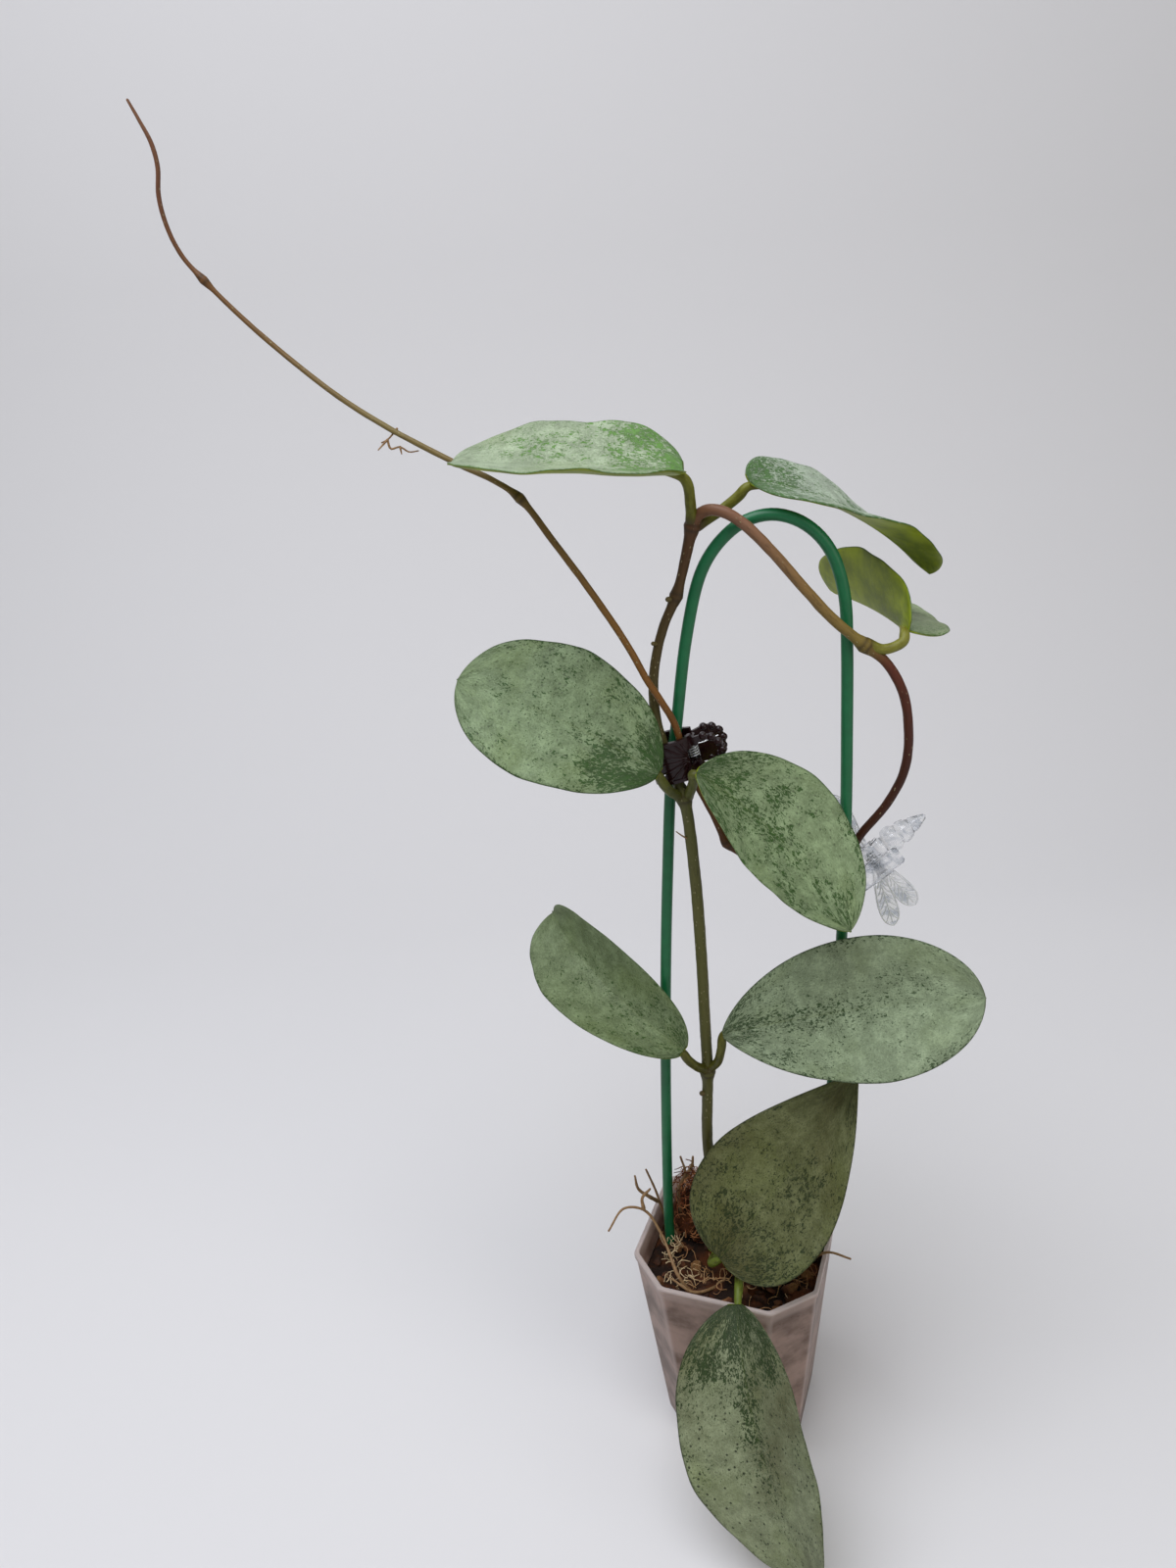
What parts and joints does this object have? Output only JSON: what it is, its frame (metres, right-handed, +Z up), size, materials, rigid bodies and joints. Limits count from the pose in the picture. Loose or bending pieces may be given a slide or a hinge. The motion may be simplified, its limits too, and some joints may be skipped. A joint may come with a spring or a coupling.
{
  "type": "potted grey ghost hoya",
  "caption": "Hoya vine with silvery speckled leaves trained round a green wire hoop in a small clear eight-sided pot, held by a dark claw clip and a clear dragonfly clip.",
  "frame": {"origin": "centre of the pot's flat underside, on the surface that it stands on", "axes": "+Z up; -Y towards the side that the plant faces; +X to the right seen from there"},
  "size_m": [0.208, 0.1398, 0.4169],
  "materials": {
    "clear_pot": "satin",
    "bark_substrate": "matte",
    "green_wire": "satin",
    "vine_bark": "matte",
    "hoya_leaf": "satin",
    "dark_plastic": "gloss",
    "clip_steel": "satin",
    "clear_plastic": "gloss"
  },
  "bodies": {
    "plant": {"pot": "clear_pot", "soil": "bark_substrate", "hoop": "green_wire", "vine": "vine_bark", "leaf_a_front": "hoya_leaf", "leaf_a_upright": "hoya_leaf", "leaf_b_left": "hoya_leaf", "leaf_b_right": "hoya_leaf", "leaf_c_left": "hoya_leaf", "leaf_c_right": "hoya_leaf", "leaf_e_left": "hoya_leaf", "leaf_e_right": "hoya_leaf", "leaf_f_back": "hoya_leaf", "claw_near_half": "dark_plastic", "claw_pin": "clip_steel", "dragonfly_body": "clear_plastic", "dragonfly_pin": "clip_steel"},
    "claw_jaw": {"claw_far_half": "dark_plastic", "claw_spring": "clip_steel"},
    "dragonfly_lever": {"dragonfly_jaw": "clear_plastic", "dragonfly_spring": "clip_steel"}
  },
  "joints": [
    {"name": "claw_hinge", "type": "hinge", "parent": "plant", "child": "claw_jaw", "pos_m": [-0.0071, 0.0037, 0.2444], "axis": [0.2226, -0.0323, -0.9744], "range_deg": [0, 25], "stiffness_Nm_per_rad": 0.01, "springref_deg": -22.92},
    {"name": "dragonfly_hinge", "type": "hinge", "parent": "plant", "child": "dragonfly_lever", "pos_m": [0.0435, -0.0006, 0.2067], "axis": [-0.5736, 0, 0.8191], "range_deg": [0, 15], "stiffness_Nm_per_rad": 0.008, "springref_deg": -22.92}
  ]
}
